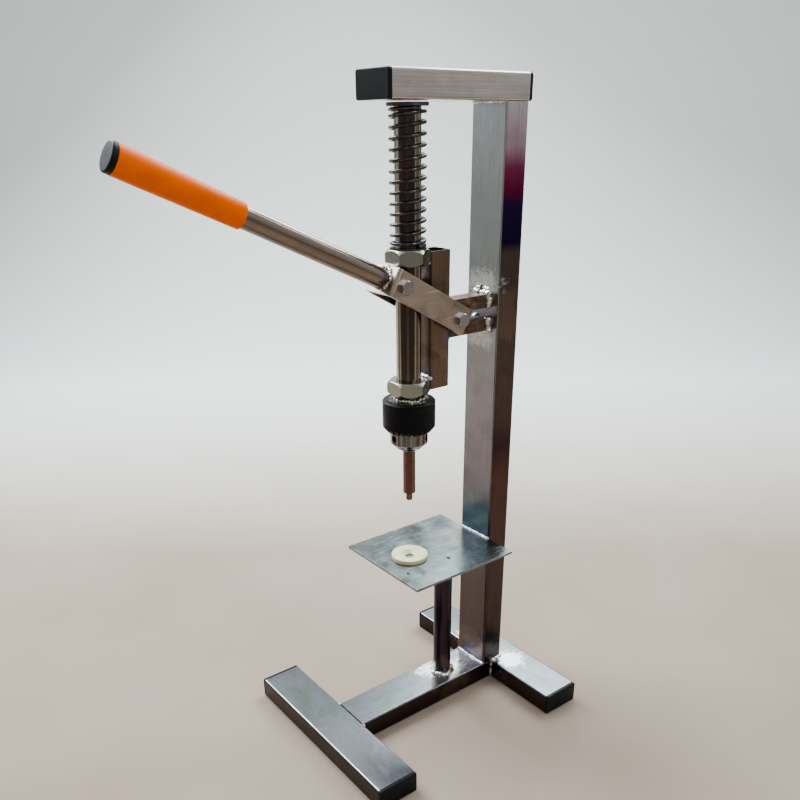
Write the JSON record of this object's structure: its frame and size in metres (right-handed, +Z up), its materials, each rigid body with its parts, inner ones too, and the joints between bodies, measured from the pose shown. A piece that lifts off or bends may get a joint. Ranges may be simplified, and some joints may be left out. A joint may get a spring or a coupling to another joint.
{
  "type": "hand lever bench press",
  "caption": "Welded tube bench press: a hand lever drives a sprung ram with a keyed chuck and pin tool down onto a small work plate on a post.",
  "frame": {"origin": "underside of the base's centre rail, on the ram's vertical axis, at floor level", "axes": "+Z up along the ram axis; -Y is the front, where the lever points; +X is to the right when facing the machine from the front along +Y"},
  "size_m": [0.252, 0.4541, 0.705],
  "materials": {
    "steel_tube": "polished stainless tube",
    "black_plastic": "satin",
    "steel_plate": "brushed",
    "cream_nylon": "satin nylon",
    "turned_steel": "turned",
    "spring_steel": "drawn wire",
    "weld_metal": "as welded, heat tinted",
    "black_steel": "black oxide",
    "orange_grip": "soft vinyl"
  },
  "bodies": {
    "frame": {"base_front_tube": "steel_tube", "base_rear_tube": "steel_tube", "base_center_rail": "steel_tube", "cap_front_left": "black_plastic", "cap_front_right": "black_plastic", "cap_rear_left": "black_plastic", "cap_rear_right": "black_plastic", "column_tube": "steel_tube", "arm_tube": "steel_tube", "cap_arm_front": "black_plastic", "cap_arm_rear": "black_plastic", "work_plate": "steel_plate", "plate_post": "steel_plate", "anvil_ring": "cream_nylon", "guide_spine": "steel_tube", "guide_nut_upper": "turned_steel", "guide_nut_lower": "turned_steel", "bracket_bar_upper": "steel_plate", "bracket_bar_lower": "steel_plate", "spring_seat_washer": "turned_steel", "weld_beads_column": "weld_metal", "weld_beads_base": "weld_metal", "weld_beads_plate": "weld_metal", "weld_beads_guide": "weld_metal", "return_spring": "spring_steel"},
    "ram": {"ram_shaft": "turned_steel", "ram_top_washer": "turned_steel", "ram_drive_boss": "steel_plate", "ram_chuck_weld": "weld_metal", "chuck_body": "turned_steel", "tool_pin": "turned_steel"},
    "chuck_sleeve": {"chuck_sleeve": "black_steel", "chuck_nut_ring": "turned_steel"},
    "lever": {"lever_clevis": "steel_plate", "lever_tube": "steel_plate", "lever_weld": "weld_metal", "lever_grip": "orange_grip", "grip_end_plug": "black_plastic", "drive_bolt": "turned_steel", "drive_bolt_nut": "turned_steel", "pivot_bolt": "turned_steel", "pivot_bolt_nut": "turned_steel"},
    "chuck_jaw_1": {"chuck_jaw_1": "turned_steel"},
    "chuck_jaw_2": {"chuck_jaw_2": "turned_steel"},
    "chuck_jaw_3": {"chuck_jaw_3": "turned_steel"}
  },
  "joints": [
    {"name": "ram_slide", "type": "slide", "parent": "frame", "child": "ram", "axis": [0, 0, -1], "range_m": [0, 0.062], "stiffness_N_per_m": 1170, "springref_m": -0.03, "deforming": ["return_spring"]},
    {"name": "lever_pivot", "type": "hinge", "parent": "ram", "child": "lever", "pos_m": [0, -0.02, 0.51872], "axis": [1, 0, 0], "range_deg": [0, 43.72]},
    {"name": "chuck_sleeve_turn", "type": "hinge", "parent": "ram", "child": "chuck_sleeve", "pos_m": [0, 0, 0.38], "axis": [0, 0, 1], "range_deg": [0, 1150]},
    {"name": "jaw_1_slide", "type": "slide", "parent": "ram", "child": "chuck_jaw_1", "axis": [0, 0.1736, 0.9848], "range_m": [0, 0.008]},
    {"name": "jaw_2_slide", "type": "slide", "parent": "ram", "child": "chuck_jaw_2", "axis": [-0.1504, -0.0868, 0.9848], "range_m": [0, 0.008]},
    {"name": "jaw_3_slide", "type": "slide", "parent": "ram", "child": "chuck_jaw_3", "axis": [0.1504, -0.0868, 0.9848], "range_m": [0, 0.008]}
  ],
  "couplings": [
    {"joint": "lever_pivot", "follows": "ram_slide", "rad_per_m": 12.294},
    {"joint": "jaw_1_slide", "follows": "chuck_sleeve_turn", "m_per_rad": 0.00039789},
    {"joint": "jaw_2_slide", "follows": "chuck_sleeve_turn", "m_per_rad": 0.00039789},
    {"joint": "jaw_3_slide", "follows": "chuck_sleeve_turn", "m_per_rad": 0.00039789}
  ]
}
